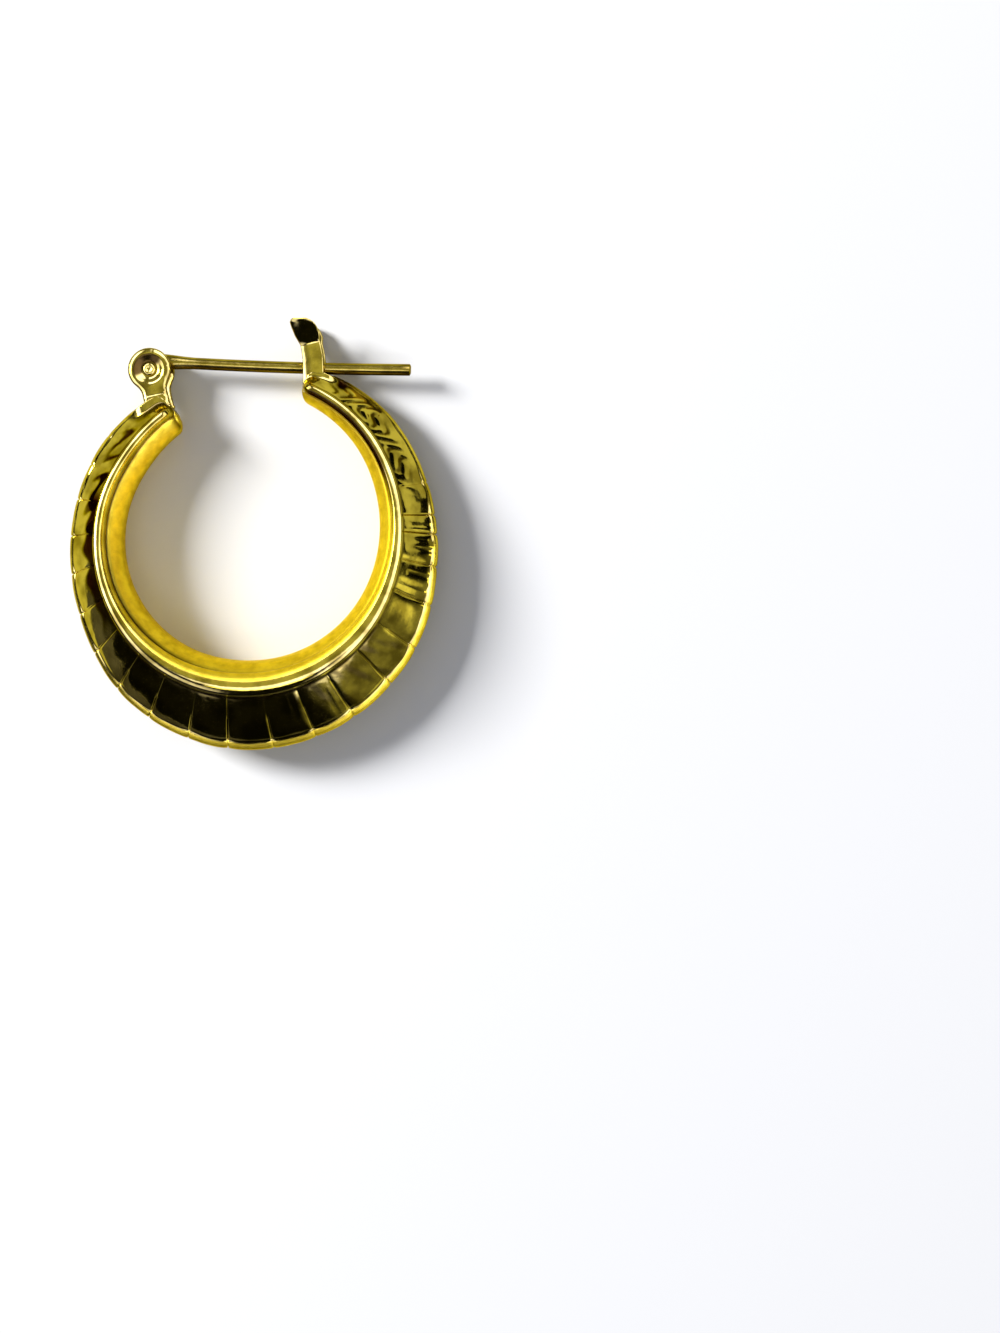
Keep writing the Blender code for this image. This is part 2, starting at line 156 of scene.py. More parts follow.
def share_at(column, place):
    """A column of the sections at a place along the hoop, as a smooth curve."""
    places, values = SECTIONS[:, 0], SECTIONS[:, column]
    slopes = np.gradient(values, places)
    row = int(np.clip(np.searchsorted(places, place, side="right") - 1, 0, len(places) - 2))
    step = places[row + 1] - places[row]
    t = (place - places[row]) / step
    start = values[row] * (1 + 2 * t) + slopes[row] * step * t
    end = values[row + 1] * (3 - 2 * t) - slopes[row + 1] * step * (1 - t)
    return start * (1 - t) ** 2 + end * t ** 2


def polar(radius, degrees):
    """The point at a radius and an angle about the middle of the hoop's opening."""
    angle = math.radians(degrees)
    return Vector((radius * math.cos(angle), radius * math.sin(angle), 0.0))


def inner_edge(place):
    """Radius of the opening at a place along the hoop."""
    return INNER_RADIUS * share_at(1, place)


def outer_edge(place):
    """Radius of the outer edge at a place along the hoop."""
    return inner_edge(place) + HOOP_WIDTH * share_at(2, place)


def smooth_step(low, high, value):
    """0 up to low and 1 from high, with a soft rise between."""
    t = np.clip((value - low) / (high - low), 0.0, 1.0)
    return t * t * (3 - 2 * t)


def window(low, full, fading, gone, value):
    """1 from full to fading and 0 outside low and gone, with soft sides."""
    return smooth_step(low, full, value) * (1.0 - smooth_step(fading, gone, value))


def smooth_max(a, b, blend):
    """The larger of two heights, rounded where they meet."""
    gap = np.maximum(blend - np.abs(a - b), 0.0) / blend
    return np.maximum(a, b) + gap ** 3 * blend / 6


def crease_pattern(place, along_flank):
    """Depth of the flutes' creases under the panels, for each share of the way along the flank."""
    clockwise = -(HINGE_END_ANGLE + SPAN * place - 360.0)
    dip = np.zeros_like(along_flank)
    for (first, first_depth, first_reach), (last, last_depth, last_reach) in zip(CREASES, CREASES[1:]):
        if not last <= clockwise <= first:
            continue
        t = (first - clockwise) / (first - last)
        across = abs(2.0 * t - 1.0)
        depth = first_depth + (last_depth - first_depth) * t
        reach = first_reach if t < 0.5 else last_reach
        open_part = 0.08 + 0.92 * smooth_step(reach - 0.05, reach + 0.12, along_flank)
        inward = np.clip(1.0 - along_flank / (0.13 + 0.17 * across ** 2), 0.0, 1.0)
        width = CREASE_HALF_DEGREES / (first - last)
        dip += PETAL_FALL * inward ** 1.7
        dip += depth * open_part * CREASE_DEPTH * np.exp(-(1.0 - across) / width)
        dip += depth * PANEL_CROWN * across ** 3
        dip += PANEL_TWIST * math.sin(first * 12.9) * (2.0 * t - 1.0) * (1.0 - across ** 2)
    for angle, depth, low, high in STROKES:
        off = (clockwise - angle) / STROKE_HALF_DEGREES
        if abs(off) < 3.0:
            begun = smooth_step(low - 0.06, low + 0.06, along_flank)
            ended = smooth_step(high - 0.04, high + 0.04, along_flank)
            dip += depth * STROKE_DEPTH * math.exp(-off * off) * np.clip(begun - ended, 0.0, 1.0)
    return dip


def flank_painted_shade(clockwise, ripple, wave, f):
    """Painted shade and dark reflections on the flank: shade in the crevice along the rim and in teeth on
    the left, dark reflections on the ripples, and darker streaks and blotches.
    """
    bites = math.cos(math.radians(clockwise * 30.0)) * math.cos(math.radians(clockwise * 7.3 + 40.0))
    tooth = 0.5 + 0.5 * bites
    left = window(138.0, 150.0, 188.0, 206.0, clockwise)
    dark = 0.94 * left * (1.0 - smooth_step(0.18 + 0.30 * tooth, 0.30 + 0.36 * tooth, f))
    dark += 0.90 * ripple * smooth_step(0.35, 0.85, wave) * window(0.10, 0.24, 0.62, 0.84, f)
    upper_left = window(176.0, 190.0, 222.0, 234.0, clockwise)
    streak = np.sin(np.radians(clockwise * 19.0) + 2.2 * np.sin(4.0 * f + clockwise * 0.3))
    dark += 0.88 * upper_left * smooth_step(0.60, 0.96, streak) * smooth_step(0.2, 0.5, 1.0 - f)
    lower_right = window(28.0, 40.0, 64.0, 76.0, clockwise)
    blotch = math.sin(math.radians(clockwise * 26.0)) * np.sin(7.0 * f + clockwise)
    dark += 0.64 * lower_right * smooth_step(0.0, 0.9, blotch)
    return np.maximum(0.85 * (1.0 - smooth_step(0.05, 0.11, f)), dark)


def half_section(place):
    """Front half of the section from the opening to the outer edge: radius, height, satin, and patina with
    painted shade.
    """
    angle = HINGE_END_ANGLE + SPAN * place
    clockwise = 360.0 - angle
    about = np.radians(angle)
    inner, outer = inner_edge(place), outer_edge(place)
    rim = RIM_WIDTH * share_at(4, place)
    step = RIM_STEP * share_at(4, place)
    band = INNER_BAND_RISE * share_at(3, place)
    outer_rise = OUTER_BAND_RISE * share_at(2, place)
    crest_radius = inner + band + rim / 2
    crest = DEPTH_BESIDE_CENTRE / 2 - TAPER * crest_radius * math.sin(math.radians(angle))
    band_edge = crest - RIM_HEIGHT

    # Inner band, satin.
    left = window(0.02, 0.10, 0.34, 0.50, place)
    s = np.linspace(0.0, 0.96, 12)
    radius, height = [inner + band * s ** 2], [band_edge * s]
    satin, patina_and_shade = [np.ones(12)], [smooth_step(0.86, 0.96, s) * 0.6 * left]

    # Groove between the band and the rim, darkest on the left.
    radius.append(np.array([inner + band + GROOVE_DEPTH * 0.7, inner + band + GROOVE_DEPTH]))
    height.append(np.array([band_edge, band_edge + RIM_HEIGHT * 0.07]))
    satin.append(np.array([0.3, 0.0]))
    patina_and_shade.append(np.array([0.95, 0.85]) * (0.12 + 0.88 * left))

    # Rim, rubbed dull on its inner side, and with painted shade on its inner side near the catch.
    turn = np.radians(np.linspace(16.0, 90.0, 11))
    degrees = np.degrees(turn)
    radius.append(crest_radius - rim / 2 * np.cos(turn))
    height.append(band_edge + RIM_HEIGHT * np.sin(turn))
    rubbed = 0.35 + 0.65 * window(0.26, 0.40, 0.74, 0.82, place)
    rubbed *= 1.0 - smooth_step(0.80, 0.86, place)
    satin.append(rubbed * np.clip((88.0 - degrees) / 16.0, 0.0, 1.0))
    rim_painted_shade = window(0.80, 0.86, 0.985, 0.997, place) * np.clip((degrees - 24.0) / 10.0, 0.0, 1.0)
    rim_painted_shade *= np.clip((98.0 - degrees) / 12.0, 0.0, 1.0)
    patina_and_shade.append(np.maximum(np.concatenate(([0.3 * left], np.zeros(10))), 0.93 * rim_painted_shade))
    turn = np.radians(np.linspace(9.0, 76.0, 9))
    radius.append(crest_radius + rim / 2 * np.sin(turn))
    height.append(crest - step * (1.0 - np.cos(turn)))
    satin.append(np.zeros(9))
    patina_and_shade.append(np.zeros(9))

    # Flank, with its creases and strokes, ripples near the catch and the waves of hand polishing.
    valley_radius, valley = crest_radius + rim / 2, crest - step
    run, drop = outer - outer_rise - valley_radius, valley - OUTER_BAND_HALF
    length = math.hypot(run, drop)
    hollow = FLANK_HOLLOW + (FLANK_SWELL - FLANK_HOLLOW) * window(0.12, 0.24, 0.60, 0.72, place)
    hollow -= 0.20 * smooth_step(0.76, 0.84, place)
    f = np.concatenate((np.linspace(0.045, 0.3, 9), np.linspace(0.34, 1.0, 15)))
    dip = crease_pattern(place, f)
    before_last = smooth_step(CREASES[-1][0] - 1.0, CREASES[-1][0], clockwise)
    after_first = smooth_step(-CREASES[0][0] - 1.0, -CREASES[0][0], -clockwise)
    plain_end = 1.0 - before_last * after_first
    dip += plain_end * PETAL_FALL * np.clip(1.0 - f / 0.2, 0.0, 1.0) ** 1.7
    ripple = window(0.80, 0.86, 0.955, 0.985, place)
    wave = np.sin(about * 80.0 + 2.6 * np.sin(5.6 * f + angle * 0.33))
    dip += ripple * RIPPLE_DEPTH * wave * np.sin(np.pi * np.clip(f * 1.15, 0.0, 1.0))
    dip += LONG_WAVE * np.sin(about * 23.0 + 7.0 * f) + SHORT_WAVE * np.sin(about * 41.0 - 5.0 * f)
    radius.append(valley_radius + run * f - drop / length * dip)
    height.append(OUTER_BAND_HALF + drop * (1.0 - f) ** hollow - run / length * dip)
    satin.append(np.zeros(len(f)))
    # The flank's dark marks are painted: shade in the crevice along the rim and in teeth on the left, dark
    # reflections on the ripples, and darker streaks and blotches.
    patina_and_shade.append(flank_painted_shade(clockwise, ripple, wave, f))

    # Outer band, satin at the foot of the hoop.
    u = np.array([0.96, 0.86, 0.72, 0.55, 0.38, 0.2, 0.0])
    radius.append(outer - outer_rise * u ** 2.6 - dip[-1] * 0.8)
    height.append(OUTER_BAND_HALF * u * (1.0 - 0.1 * (1.0 - u)))
    foot = window(0.28, 0.42, 0.66, 0.80, place)
    satin.append(np.array([0.3] + [1.0] * 6) * (0.35 + 0.65 * foot))
    patina_and_shade.append(np.zeros(7))
    return [np.concatenate(part) for part in (radius, height, satin, patina_and_shade)]


def hoop_places():
    """Places of the sections, closer together at the creases, with the scale of each."""
    rounding = END_ROUNDING / (math.radians(SPAN) * (INNER_RADIUS + HOOP_WIDTH / 4))
    edges = [(360.0 - angle - HINGE_END_ANGLE) / SPAN for angle, _, _ in CREASES]
    places = list(np.linspace(rounding, edges[0], STATIONS_AT_HINGE, endpoint=False))
    for first, last in zip(edges, edges[1:]):
        t = np.linspace(0.0, 1.0, STATIONS_EACH_FLUTE, endpoint=False)
        packed = t - 0.62 * np.sin(2.0 * math.pi * t) / (2.0 * math.pi)
        places += list(first + (last - first) * packed)
    places += list(np.linspace(edges[-1], 1.0 - rounding, STATIONS_AT_CATCH))
    reach = np.array([0.25, 0.5, 0.68, 0.82, 0.92, 0.98, 1.0])
    scale = (1.0 - reach ** 3.4) ** 0.42
    start = [(rounding * (1.0 - r), s) for r, s in zip(reach[::-1], scale[::-1])]
    end = [(1.0 - rounding * (1.0 - r), s) for r, s in zip(reach, scale)]
    return start[1:] + [(p, 1.0) for p in places] + end[:-1]


hinge_spot = polar(outer_edge(0.0) + HINGE_ABOVE_HOOP, HINGE_ANGLE)
seat_spot = polar(outer_edge(1.0) + SEAT_ABOVE_HOOP, SEAT_ANGLE)
chord = seat_spot - hinge_spot
wire_degrees = math.degrees(math.atan2(chord.y, chord.x) - math.asin(WIRE_OFFSET / chord.length))
hoop_turn = Matrix.Rotation(-math.atan(TAPER), 4, "X")
hoop_place = Matrix.Translation(Vector(frame["joints"][0]["pos_m"]) - hoop_turn @ hinge_spot) @ hoop_turn


def strip_pad(points, foot, tip, half_width, bend_at):
    """Height of the solder: level under the strip from foot to tip, falling away beside it."""
    axis = (tip - foot).normalized()
    side = Vector((-axis.y, axis.x, 0.0))
    away = points - np.array(foot)
    along_strip = away @ np.array(axis)
    across = np.abs(away @ np.array(side))
    beside = np.maximum(across - half_width, 0.0)
    behind = np.maximum(-along_strip, 0.0)
    off = np.sqrt(beside ** 2 + behind ** 2 + 1e-12)
    level = np.where(along_strip < bend_at, EAR_FACE + 0.000006, EAR_FACE - 0.00004)
    return level - SOLDER_SLOPE * off - SOLDER_FALL * np.maximum(off - SOLDER_SHOULDER, 0.0) ** 2


rings, satin_rows, patina_and_shade_rows = [], [], []
for place, scale in hoop_places():
    radius, height, satin, patina_and_shade = half_section(place)
    core = (inner_edge(place) + outer_edge(place)) / 2
    radius = core + (radius - core) * scale
    height = height * scale
    radius = np.concatenate((radius, radius[-2:0:-1]))
    height = np.concatenate((height, -height[-2:0:-1]))
    angle = math.radians(HINGE_END_ANGLE + SPAN * place)
    rings.append(np.stack((radius * math.cos(angle), radius * math.sin(angle), height), axis=1))
    satin_rows.append(np.concatenate((satin, satin[-2:0:-1])))
    patina_and_shade_rows.append(np.concatenate((patina_and_shade, patina_and_shade[-2:0:-1])))
points = np.concatenate(rings)

# Solder at the hinge's neck and at the catch's foot.
neck_foot = polar(outer_edge(0.0) - HOOP_WIDTH * 0.495 * 0.4, 127.5)
catch_up = polar(1.0, wire_degrees + 93.0)
catch_foot = seat_spot - catch_up * 0.0010
side_sign = np.sign(points[:, 2])
depth = np.abs(points[:, 2])
neck_reach = (neck_foot - hinge_spot).length
joint_dirt = np.zeros(len(points))
for foot, tip, half_width, bend_at, blend, dirt in (
    (neck_foot, hinge_spot, 0.00080, neck_reach * (1.0 - NECK_STRAIGHT), 0.00020, 0.85),
    (catch_foot, seat_spot, 0.00060, 0.00060, 0.00026, 0.0),
):
    pad = strip_pad(points, foot, tip, half_width, bend_at)
    near = np.linalg.norm(points[:, :2] - np.array(foot)[:2], axis=1) < SOLDER_REACH
    soldered = near & (depth > OUTER_BAND_HALF * 0.72)
    joint = dirt * np.clip(1.0 - np.abs(depth - pad) / JOINT_LINE, 0.0, 1.0) ** 0.7
    at_joint = soldered & (depth > pad - 0.00012)
    joint_dirt = np.where(at_joint, np.maximum(joint_dirt, joint), joint_dirt)
    depth = np.where(soldered & (side_sign != 0), smooth_max(depth, pad, blend), depth)

# A pit in the casting and the edge of the solder, both beside the catch on the front.
PIT_WIDTH = 0.00030
PIT_DEPTH = 0.00013
SEAM_WIDTH = 0.00010
SEAM_DEPTH = 0.00005
SEAM_RIDGE = 0.00003
SEAM_STAIN_WIDTH = 0.00007
pit = polar(0.01178, 57.9)
from_pit = np.linalg.norm(points[:, :2] - np.array(pit)[:2], axis=1) / PIT_WIDTH
seam_start, seam_end = Vector((0.00497, 0.01118, 0.0)), Vector((0.00612, 0.01026, 0.0))
seam = seam_end - seam_start
seam_share = np.clip(((points - np.array(seam_start)) @ np.array(seam)) / seam.length_squared, 0.0, 1.0)
seam_foot = np.array(seam_start) + np.outer(seam_share, np.array(seam))
seam_normal = np.array((-seam.y, seam.x)) / seam.length
seam_side = (points[:, :2] - seam_foot[:, :2]) @ seam_normal
seam_off = np.linalg.norm((points - seam_foot)[:, :2], axis=1)
past_seam = np.maximum(seam_off - 2 * SEAM_WIDTH, 0.0)
ridge = np.exp(-((seam_side - 0.00016) / SEAM_WIDTH) ** 2) * np.exp(-(past_seam / SEAM_WIDTH) ** 2)
mark = np.exp(-(from_pit ** 2) * 1.4) * PIT_DEPTH
mark += np.exp(-(seam_off / SEAM_WIDTH) ** 2) * SEAM_DEPTH
mark -= ridge * SEAM_RIDGE
on_front = side_sign > 0
depth = np.where(on_front, depth - mark * (depth > OUTER_BAND_HALF), depth)
pit_stain = np.minimum(np.exp(-(from_pit ** 2) * 0.75) * 1.7, 0.98)
seam_stain = np.exp(-(seam_off / SEAM_STAIN_WIDTH) ** 2) * 0.6
stain = np.where(on_front, pit_stain + seam_stain, 0.0)
points[:, 2] = side_sign * depth

# Seat of the closed wire: a channel across the outer edge, between the two leaves.
wire_up = polar(1.0, wire_degrees + 90.0)
seat_floor = float((seat_spot - wire_up * SEAT_DEPTH).dot(wire_up))
above = points @ np.array(wire_up) - seat_floor
near_seat = np.linalg.norm(points - np.array(seat_spot), axis=1) < SOLDER_REACH
in_channel = near_seat & (np.abs(points[:, 2]) < SEAT_HALF) & (above > 0.0)
points[in_channel] -= np.outer(above[in_channel], np.array(wire_up))

count, around = len(rings), len(rings[0])
ring_start = np.arange(count - 1)[:, None] * around
step = np.arange(around)[None, :]
after = (step + 1) % around
next_start = ring_start + around
quads = np.stack((ring_start + step, next_start + step, next_start + after, ring_start + after), axis=2)
faces = quads.reshape(-1, 4).tolist()
poles = [points[:around].mean(axis=0), points[-around:].mean(axis=0)]
start_pole, end_pole = len(points), len(points) + 1
faces += [(start_pole, i, (i + 1) % around) for i in range(around)]
last = (count - 1) * around
faces += [(end_pole, last + (i + 1) % around, last + i) for i in range(around)]
mesh = bpy.data.meshes.new("hoop_body")
mesh.from_pydata(np.concatenate((points, poles)).tolist(), [], faces)
for name, rows in (("satin", satin_rows), ("patina_and_shade", patina_and_shade_rows)):
    layer = mesh.attributes.new(name, "FLOAT", "POINT")
    values = np.concatenate(rows)
    if name == "patina_and_shade":
        values = np.maximum(values, np.maximum(stain, joint_dirt))
    layer.data.foreach_set("value", np.concatenate((values, [0.0, 0.0])).astype(np.float32))
shell = bmesh.new()
shell.from_mesh(mesh)
bmesh.ops.recalc_face_normals(shell, faces=shell.faces)
shell.to_mesh(mesh)
shell.free()
mesh.transform(hoop_place)
mesh.shade_smooth()
hoop = bpy.data.objects.new("hoop_body", mesh)
bpy.context.scene.collection.objects.link(hoop)


def add(tree, kind, x, y, **settings):
    """A shader node at a place on the sheet, with its settings."""
    item = tree.nodes.new(kind)
    item.location = (x, y)
    for name, value in settings.items():
        setattr(item, name, value)
    return item


def noise(tree, coordinates, scale, detail, x, y):
    """Cloudy noise over the piece, from 0 to 1."""
    item = add(tree, "ShaderNodeTexNoise", x, y)
    item.inputs["Scale"].default_value = scale
    item.inputs["Detail"].default_value = detail
    tree.links.new(coordinates, item.inputs["Vector"])
    return item.outputs["Fac"]


def ramp(tree, value, low, high, low_colour, high_colour, x, y):
    """A colour that runs from one to another between two values."""
    item = add(tree, "ShaderNodeValToRGB", x, y)
    item.color_ramp.elements[0].position = low
    item.color_ramp.elements[1].position = high
    item.color_ramp.elements[0].color = low_colour
    item.color_ramp.elements[1].color = high_colour
    tree.links.new(value, item.inputs["Fac"])
    return item.outputs["Color"]


def mix(tree, factor, first, second, x, y):
    """A mix of two colours, each a socket or plain."""
    item = add(tree, "ShaderNodeMix", x, y, data_type="RGBA")
    tree.links.new(factor, item.inputs["Factor"])
    for source, socket in ((first, item.inputs["A"]), (second, item.inputs["B"])):
        if isinstance(source, tuple):
            socket.default_value = source
        else:
            tree.links.new(source, socket)
    return item.outputs["Result"]


POLISH_DARK = (0.22, 0.165, 0.012, 1.0)
POLISH_LIGHT = (0.49, 0.385, 0.036, 1.0)
SATIN_DEEP = (0.54, 0.375, 0.006, 1.0)
SATIN_PALE = (0.76, 0.565, 0.014, 1.0)
# This brown is the patina and also the colour of the painted shade and painted dark reflections.
PATINA_AND_SHADE_BROWN = (0.026, 0.010, 0.0005, 1.0)
CLEAN_EDGE = (0.95, 0.82, 0.45, 1.0)
PATINA_AND_SHADE_EDGE = (0.09, 0.045, 0.004, 1.0)
POLISH_FINE = (0.045, 0.045, 0.045, 1.0)
POLISH_SMEARED = (0.13, 0.13, 0.13, 1.0)
SATIN_ROUGH = (0.46, 0.46, 0.46, 1.0)
SATIN_RUBBED = (0.36, 0.36, 0.36, 1.0)
PATINA_AND_SHADE_ROUGH = (0.26, 0.26, 0.26, 1.0)
PEEL_HEIGHT = 0.000008
GRAIN_HEIGHT = 0.000012


def gold(name):
    """Plated gold: mirror polish with a faint orange peel, satin, and patina and painted shade where the
    piece says so.
    """
    material = bpy.data.materials.new(name)
    material.use_nodes = True
    tree = material.node_tree
    shader = tree.nodes["Principled BSDF"]
    coordinates = add(tree, "ShaderNodeTexCoord", -1500, 0).outputs["Object"]
    cloud = noise(tree, coordinates, 640.0, 4.0, -1250, 300)
    polish = ramp(tree, cloud, 0.36, 0.58, POLISH_DARK, POLISH_LIGHT, -1000, 300)
    mottle = noise(tree, coordinates, 1500.0, 5.0, -1250, 50)
    satin_tone = ramp(tree, mottle, 0.32, 0.62, SATIN_DEEP, SATIN_PALE, -1000, 50)
    satin = add(tree, "ShaderNodeAttribute", -1000, -200, attribute_name="satin").outputs["Fac"]
    patina_and_shade = add(tree, "ShaderNodeAttribute", -1000, -400, attribute_name="patina_and_shade").outputs["Fac"]
    tone = mix(tree, satin, polish, satin_tone, -700, 200)
    tone = mix(tree, patina_and_shade, tone, PATINA_AND_SHADE_BROWN, -450, 200)
    tree.links.new(tone, shader.inputs["Base Color"])
    shader.inputs["Metallic"].default_value = 1.0
    edge_tone = mix(tree, patina_and_shade, CLEAN_EDGE, PATINA_AND_SHADE_EDGE, -450, 450)
    tree.links.new(edge_tone, shader.inputs["Specular Tint"])

    smear = noise(tree, coordinates, 2600.0, 3.0, -1250, -600)
    polish_rough = ramp(tree, smear, 0.3, 0.75, POLISH_FINE, POLISH_SMEARED, -1000, -600)
    satin_rough = ramp(tree, mottle, 0.3, 0.7, SATIN_ROUGH, SATIN_RUBBED, -1000, -800)
    rough = mix(tree, satin, polish_rough, satin_rough, -700, -600)
    rough = mix(tree, patina_and_shade, rough, PATINA_AND_SHADE_ROUGH, -450, -600)
    tree.links.new(rough, shader.inputs["Roughness"])

    peel = add(tree, "ShaderNodeBump", -450, -1000)
    peel.inputs["Strength"].default_value = 1.0
    peel.inputs["Distance"].default_value = PEEL_HEIGHT
    tree.links.new(noise(tree, coordinates, 1400.0, 2.0, -700, -1000), peel.inputs["Height"])
    grain = add(tree, "ShaderNodeBump", -200, -1000)
    grain.inputs["Distance"].default_value = GRAIN_HEIGHT
    tree.links.new(satin, grain.inputs["Strength"])
    tree.links.new(noise(tree, coordinates, 11000.0, 3.0, -450, -1250), grain.inputs["Height"])
    tree.links.new(peel.outputs["Normal"], grain.inputs["Normal"])
    tree.links.new(grain.outputs["Normal"], shader.inputs["Normal"])
    return material


hoop_gold = gold("hoop_gold_plate")
hoop.data.materials.append(hoop_gold)
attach(hoop, "hoop")
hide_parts("hoop")


# Hinge ears. Two flat ears of brass strip, soldered to the front and rear of the hoop's end. Each has
# a pressed dimple that takes the head of the rivet, and a crease where its neck bends to the hoop.
EAR_RADIUS = 0.00146
EAR_THICKNESS = 0.00050
EAR_INSIDE = 0.00050
EAR_CORNERS = 96
NECK_HALF = 0.00086
NECK_BLEND = 0.00062
NECK_TURN = 50.0
NECK_END = 0.00105
NECK_CREASE = 0.000034
NECK_SINK = 0.012
NECK_CUTS = (-0.00012, -0.00004, 0.00004, 0.00014, 0.0003)
DISH_RADIUS = 0.00106
DISH_FLOOR = 0.00040
DISH_PAINTED_SHADE = 0.94
EAR_EDGE = 0.00036
EAR_PRESS = 0.5
BOWL_DEPTH = 0.001
# The dimple's wall from its edge to its floor: how far in and how far down each step goes.
DISH_STEPS = (
    (0.00004, 0.000008), (0.00005, 0.000016), (0.00006, 0.000026), (0.00008, 0.000040),
    (0.00008, 0.000044), (0.00009, 0.000046), (0.00008, 0.000030), (0.00005, 0.000008),
)
ORIGIN = (0.0, 0.0, 0.0)
hinge_place = hoop_place @ Matrix.Translation(hinge_spot)


def finish_edges(piece, width, segments, degrees=40.0, clamp=True, flat=True):
    """Rounds a piece's edges and shades it smooth."""
    bpy.context.view_layer.objects.active = piece
    rounding = piece.modifiers.new("edges", "BEVEL")
    rounding.width = width
    rounding.segments = segments
    rounding.limit_method = "ANGLE"
    rounding.angle_limit = math.radians(degrees)
    rounding.use_clamp_overlap = clamp
    rounding.harden_normals = flat
    bpy.ops.object.modifier_apply(modifier=rounding.name)
    bpy.ops.object.select_all(action="DESELECT")
    piece.select_set(True)
    bpy.ops.object.shade_smooth_by_angle(angle=math.radians(50.0))
    piece.select_set(False)


def choose_faces(piece, wanted):
    """Selects, in edit mode, the faces that the test picks by centre and normal."""
    bm = bmesh.from_edit_mesh(piece.data)
    bpy.ops.mesh.select_all(action="DESELECT")
    for face in bm.faces:
        if wanted(face.calc_center_median(), face.normal):
            face.select_set(True)
    bmesh.update_edit_mesh(piece.data)


neck_down = (neck_foot - hinge_spot).normalized()
neck_degrees = math.degrees(math.atan2(neck_down.y, neck_down.x))
neck_straight = neck_reach * NECK_STRAIGHT
neck_tip = neck_straight + NECK_END
neck_start = EAR_RADIUS * math.cos(math.radians(NECK_TURN))
neck_start_half = EAR_RADIUS * math.sin(math.radians(NECK_TURN))
ear_middle = EAR_INSIDE + EAR_THICKNESS / 2
# Each ear is shaped at twice its height and then pressed, so that its rounded edge comes out low.
ear_height = EAR_THICKNESS / EAR_PRESS
for name, side in (("hinge_ear_front", 1.0), ("hinge_ear_rear", -1.0)):
    bpy.ops.mesh.primitive_circle_add(
        vertices=EAR_CORNERS, radius=EAR_RADIUS, fill_type="NGON", location=ORIGIN
    )
    ear = bpy.context.object
    ear.name = ear.data.name = name
    for vert in ear.data.vertices:
        turn = math.degrees(math.atan2(vert.co.y, vert.co.x))
        if abs(turn) > NECK_TURN:
            continue
        share = 1.0 - abs(turn) / NECK_TURN
        x = neck_start + (neck_tip - neck_start) * min(share / 0.84, 1.0)
        flare = max(1.0 - (x - neck_start) / NECK_BLEND, 0.0) ** 1.8
        half = NECK_HALF + (neck_start_half - NECK_HALF) * flare
        half *= min((1.0 - share) / 0.16, 1.0)
        vert.co.x, vert.co.y = x, math.copysign(half, turn)
    bpy.ops.object.mode_set(mode="EDIT")
    bpy.ops.mesh.select_mode(type="FACE")
    bpy.ops.mesh.select_all(action="SELECT")
    bpy.ops.mesh.extrude_region_move(TRANSFORM_OT_translate={"value": (0.0, 0.0, ear_height)})
    for row in NECK_CUTS:
        cut_at = (neck_straight + row, 0.0, 0.0)
        bpy.ops.mesh.select_all(action="SELECT")
        bpy.ops.mesh.bisect(plane_co=cut_at, plane_no=(1.0, 0.0, 0.0), threshold=0.0000001)
    bpy.ops.mesh.select_all(action="SELECT")
    bpy.ops.mesh.normals_make_consistent(inside=False)
    bpy.ops.object.mode_set(mode="OBJECT")
    for vert in ear.data.vertices:
        past_bend = vert.co.x - neck_straight
        crease = NECK_CREASE * max(1.0 - abs(past_bend - 0.00004) / 0.00010, 0.0)
        sink = NECK_SINK * max(past_bend - 0.00014, 0.0)
        vert.co.z += ((crease - sink) * (vert.co.z > 0.0) - EAR_THICKNESS / 2) / EAR_PRESS
    over_ear = (0.0, 0.0, ear_height / 2 + BOWL_DEPTH / 2 + 0.000001)
    bpy.ops.mesh.primitive_cylinder_add(
        vertices=80, radius=DISH_RADIUS, depth=BOWL_DEPTH, location=over_ear
    )
    bowl = bpy.context.object
    bpy.ops.object.mode_set(mode="EDIT")
    choose_faces(bowl, lambda centre, normal: normal.z < -0.9)
    for inset, fall in DISH_STEPS:
        bpy.ops.mesh.inset(thickness=inset, depth=fall / EAR_PRESS)
    bpy.ops.object.mode_set(mode="OBJECT")
    cut = ear.modifiers.new("bowl", "BOOLEAN")
    cut.object = bowl
    cut.operation = "DIFFERENCE"
    cut.solver = "EXACT"
    bpy.context.view_layer.objects.active = ear
    bpy.ops.object.modifier_apply(modifier=cut.name)
    bpy.data.objects.remove(bowl)
    finish_edges(ear, EAR_EDGE, 8, 70.0, clamp=False)
    # Painted shade in the dimple: its upper half is darkened, standing in for the shade that falls there.
    dish_painted_shade = ear.data.attributes.new("patina_and_shade", "FLOAT", "POINT")
    for vert, value in zip(ear.data.vertices, dish_painted_shade.data):
        out = math.hypot(vert.co.x, vert.co.y)
        if DISH_FLOOR < out < DISH_RADIUS + 0.00002:
            upwards = -(0.94 * vert.co.x + 0.34 * vert.co.y) / out
            value.value = DISH_PAINTED_SHADE * smooth_step(-0.12, 0.24, upwards)
    ear.data.transform(Matrix.Diagonal((1.0, 1.0, EAR_PRESS, 1.0)))
    lay = hinge_place @ Matrix.Rotation(math.radians(neck_degrees), 4, "Z")
    lay = lay @ Matrix.Translation((0.0, 0.0, side * ear_middle))
    if side < 0.0:
        lay = lay @ Matrix.Rotation(math.pi, 4, "X")
    ear.data.transform(lay)
    ear.data.materials.append(hoop_gold)
    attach(ear, "hoop")


# Rivet. A short brass pin through both ears and the wire's eye. Its ends are spun over into low domed
# heads that sit down in the dimples.
RIVET_RADIUS = 0.00045
RIVET_SHANK = 0.00178
